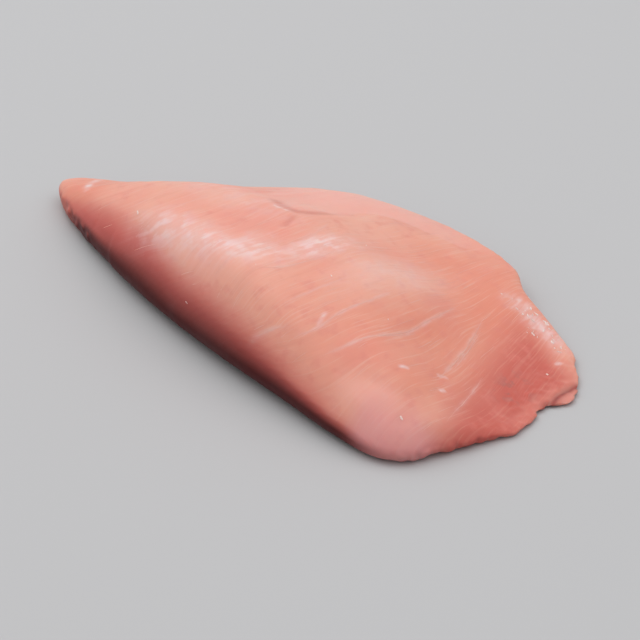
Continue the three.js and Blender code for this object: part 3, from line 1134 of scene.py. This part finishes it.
tree, shader = shader_of(meat)
position = add_node(tree, "ShaderNodeTexCoord").outputs["Object"]
drift = soft_noise(tree, position, 38.0, 3.0)
mottle = soft_noise(tree, position, 240.0, 3.0)
fibre = mask(tree, "fibre")
bundles = fibre_noise(tree, fibre, position, 2.2 * MM, 26 * MM, detail=3.0)
threads = fibre_noise(tree, fibre, position, 0.6 * MM, 16 * MM, detail=2.0, seed=9.0)
colour = blend_colour(tree, remap(tree, drift, 0.35, 0.62), PINK, BEIGE)
colour = tint_masks(tree, colour, [
    ("warm", 0.85, WARM_PINK),
    ("shelf", 0.95, RED_END),
    ("milk", 0.65, MILKY_AND_LIT_BEIGE),
])
colour = tint_noise(tree, colour, [
    (drift, 0.55, 0.75, 0.35, ROSE),
    (mottle, 0.5, 0.75, 0.4, ROSE),
    (bundles, 0.52, 0.75, 0.16, PALE_FIBRE),
    (bundles, 0.48, 0.28, 0.12, DEEP_FIBRE),
])
showing = maths(tree, "SUBTRACT", 0.38, mask(tree, "shelf", 0.24))
thread_share = maths(tree, "MULTIPLY", remap(tree, threads, 0.52, 0.72), showing)
colour = blend_colour(tree, thread_share, colour, PALE_FIBRE)
print("the body's colour takes", len(tree.nodes), "nodes")

# %% [markdown]
# The lobe, the flap and the details of the thin end have tints of their own. Over them lie
# painted light and shade: the sides and the lowest part of the flank are painted shade, so are
# the line where the flap parts and the dark line beside the tongue, and the cut rim is a
# painted rim light. The bruise is broken up into specks by the mottle.

# %% Tint the flap and the thin end, and paint shade and rim light
SIDE_SHADE_ROSE = from_screen(208, 97, 91)
LOBE_PALE = from_screen(248, 182, 166)
LOBE_LILAC = from_screen(230, 160, 164)
FOOT_SHADE_RED = from_screen(76, 8, 8)
FLAP_PINK = from_screen(244, 183, 172)
CREASE_SHADE_ROSE = from_screen(206, 116, 100)
TONGUE_ROSE = from_screen(220, 140, 131)
RIM_LIGHT_PINK = from_screen(244, 168, 152)
FOLD_SHADE_RED = from_screen(138, 56, 52)
BRUISE_GREY = from_screen(150, 108, 104)

# In this list the sides, the lowest part of the flank, the line where the flap parts and the
# hollow beside the tongue are painted shade, and the cut rim is a painted rim light.
colour = tint_masks(tree, colour, [
    ("side", 0.92, SIDE_SHADE_ROSE),
    ("arc", 0.8, LOBE_PALE),
    ("lobe", 0.6, LOBE_LILAC),
    ("foot", 1.0, FOOT_SHADE_RED),
    ("flap", 0.75, FLAP_PINK),
    ("crease", 0.65, CREASE_SHADE_ROSE),
    ("tongue", 0.7, TONGUE_ROSE),
    ("rim", 0.6, RIM_LIGHT_PINK),
    ("fold", 0.85, FOLD_SHADE_RED),
])
specks = remap(tree, mottle, 0.48, 0.6)
bruise = maths(tree, "MULTIPLY", mask(tree, "bruise", 0.45), specks)
colour = blend_colour(tree, bruise, colour, BRUISE_GREY)
print("with the tints it takes", len(tree.nodes), "nodes")

# %% [markdown]
# The pale film, with its painted sheen and glints, comes last, because it lies over everything.
# Noise in short strokes along the fibres tears it. The surface is soft and moist: light scatters
# below it, red the furthest, the threads and the film's ripples make a faint bump, and a thin
# coat gives the wet sheen.

# %% Lay the film and its painted sheen over the meat and finish it
FILM_AND_SHEEN_WHITE = from_screen(244, 213, 212)

tears = fibre_noise(tree, fibre, position, 1.7 * MM, 8 * MM, detail=3.0, wobble=3 * MM, seed=17.0)
worn = maths(tree, "MULTIPLY_ADD", mottle, 0.9, tears)
# This share holds the film together with its painted sheen and glints.
film_and_sheen_share = maths(tree, "MULTIPLY", mask(tree, "haze", 0.9), remap(tree, worn, 0.78, 1.15, 0.3))
colour = blend_colour(tree, film_and_sheen_share, colour, FILM_AND_SHEEN_WHITE)

roughness, ripples = film_in(tree, driest=0.62, wettest=0.45, patch_scale=70.0)
height = maths(tree, "MULTIPLY_ADD", threads, 0.6, maths(tree, "MULTIPLY", ripples, 0.25))
inputs = {"Height": height, "Strength": 0.35, "Distance": 0.15 * MM}
fill_inputs(tree, shader, {
    "Base Color": colour,
    "Roughness": roughness,
    "Normal": add_node(tree, "ShaderNodeBump", inputs).outputs[0],
    "Subsurface Weight": 0.45,
    "Subsurface Radius": (1.0, 0.42, 0.3),
    "Subsurface Scale": 3.5 * MM,
    "IOR": 1.4,
    "Specular IOR Level": 0.2,
    "Coat Weight": 0.1,
    "Coat Roughness": 0.3,
})
print("the meat's material has", len(tree.nodes), "nodes")

# %% [markdown]
# ## Tissue and fat
# The strands are paler than the meat and nearly as pink, because it shines through them. The
# flecks of fat are almost white and the wettest of all; their white is partly a painted
# highlight for wet glints. Both are painted in the same way, so one function does it.

# %% Paint the tissue and the fat
DRY_PATCHES = 0.12


def paint_pale(material, dull, bright, wettest):
    """Two tints that drift into each other under the wet film, whose least roughness is given."""
    tree, shader = shader_of(material)
    position = add_node(tree, "ShaderNodeTexCoord").outputs["Object"]
    drift = soft_noise(tree, position, 160.0, 2.0)
    roughness, ripples = film_in(tree, wettest + DRY_PATCHES, wettest, patch_scale=300.0)
    inputs = {"Height": ripples, "Strength": 0.3, "Distance": 0.1 * MM}
    fill_inputs(tree, shader, {
        "Base Color": blend_colour(tree, remap(tree, drift, 0.35, 0.65), dull, bright),
        "Roughness": roughness,
        "Normal": add_node(tree, "ShaderNodeBump", inputs).outputs[0],
        "Coat Weight": 0.2,
        "Coat Roughness": 0.15,
    })


paint_pale(tissue, from_screen(236, 166, 150), from_screen(240, 184, 169), 0.4)
# The fat's near-white tints are partly a painted highlight for wet glints.
paint_pale(fat, from_screen(244, 205, 196), from_screen(252, 234, 228), 0.25)
print("painted", tissue.name, "and", fat.name)

# %% [markdown]
# ## Floor, light and camera
# A plain pale floor and soft light keep the eye on the meat. The sky gives the most light. A
# wide lamp overhead and two smaller ones at the sides shape the dome and leave the near flank
# in its own soft shade.

# %% Set the stage
FLOOR_SIZE = 4.0
FLOOR_GREY = (0.55, 0.55, 0.56, 1.0)

half = FLOOR_SIZE / 2
corners = [(-half, -half, 0), (half, -half, 0), (half, half, 0), (-half, half, 0)]
floor_mesh = bpy.data.meshes.new("floor")
floor_mesh.from_pydata(corners, [], [(0, 1, 2, 3)])
floor_finish = bpy.data.materials.new("pale floor")
floor_mesh.materials.append(floor_finish)
fill_inputs(*shader_of(floor_finish), {"Base Color": FLOOR_GREY, "Roughness": 0.8})
floor = link(bpy.data.objects.new("floor", floor_mesh))
print("the floor is", FLOOR_SIZE, "m wide")

# %% [markdown]
# The camera looks down at 32 degrees with a long lens, so the fillet hardly tapers with
# distance. It aims a little off the origin, to place the fillet in the picture.

# %% Place the camera
VIEW_AZIMUTH = math.radians(43.7)
VIEW_ELEVATION = math.radians(32)
VIEW_DISTANCE = 1.419
LENS = 271.0
AIM_RIGHT = 4.6
AIM_DOWN = 6.1


def direction(azimuth, elevation):
    """The unit vector from the fillet towards something seen at these angles."""
    flat = math.cos(elevation)
    return Vector((math.sin(azimuth) * flat, -math.cos(azimuth) * flat, math.sin(elevation)))


def look_back(piece, away):
    """Turns a camera or lamp that stands in this direction back towards the fillet."""
    piece.rotation_mode = "QUATERNION"
    piece.rotation_quaternion = (-away).to_track_quat("-Z", "Y")


back = direction(VIEW_AZIMUTH, VIEW_ELEVATION)
right = Vector((math.cos(VIEW_AZIMUTH), math.sin(VIEW_AZIMUTH), 0))
up = back.cross(right)
aim = right * AIM_RIGHT * MM - up * AIM_DOWN * MM
camera_data = bpy.data.cameras.new("camera")
camera_data.lens = LENS
camera_data.clip_start = 0.1
camera = link(bpy.data.objects.new("camera", camera_data))
camera.location = aim + back * VIEW_DISTANCE
look_back(camera, back)
bpy.context.scene.camera = camera
print("the camera stands at", [round(value, 3) for value in camera.location])

# %% [markdown]
# Round lamps that are wide for their distance give soft shadows. The Standard view shows the
# colours as they were set.

# %% Light the stage
LAMP_DISTANCE = 1.3
SKY_STRENGTH = 0.57

# Each row: the name, the azimuth and elevation in degrees, the width and the power.
LAMPS = [
    ("overhead_lamp", 0, 90, 2.4, 6),
    ("left_lamp", 268, 55, 1.2, 4),
    ("right_lamp", 134, 55, 1.2, 1.5),
]
for name, azimuth, elevation, width, power in LAMPS:
    lamp = bpy.data.lights.new(name, "AREA")
    lamp.shape = "DISK"
    lamp.size = width
    lamp.energy = power
    piece = link(bpy.data.objects.new(name, lamp))
    away = direction(math.radians(azimuth), math.radians(elevation))
    piece.location = away * LAMP_DISTANCE
    look_back(piece, away)

world = bpy.data.worlds.new("studio")
bpy.context.scene.world = world
world.use_nodes = True
sky = world.node_tree.nodes["Background"]
sky.inputs["Color"].default_value = (1.0, 1.0, 1.0, 1.0)
sky.inputs["Strength"].default_value = SKY_STRENGTH
bpy.context.scene.view_settings.view_transform = "Standard"
print("lit by", len(LAMPS), "lamps and the sky")

# %% [markdown]
# ## Hand the pieces over
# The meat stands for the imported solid, and the strands and flecks lie on it. All of them ride
# on the one body.

# %% Tie the pieces to the frame
for piece in (breast, short_strands, long_strands, flecks):
    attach(piece, BODY)
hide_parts(NODE)
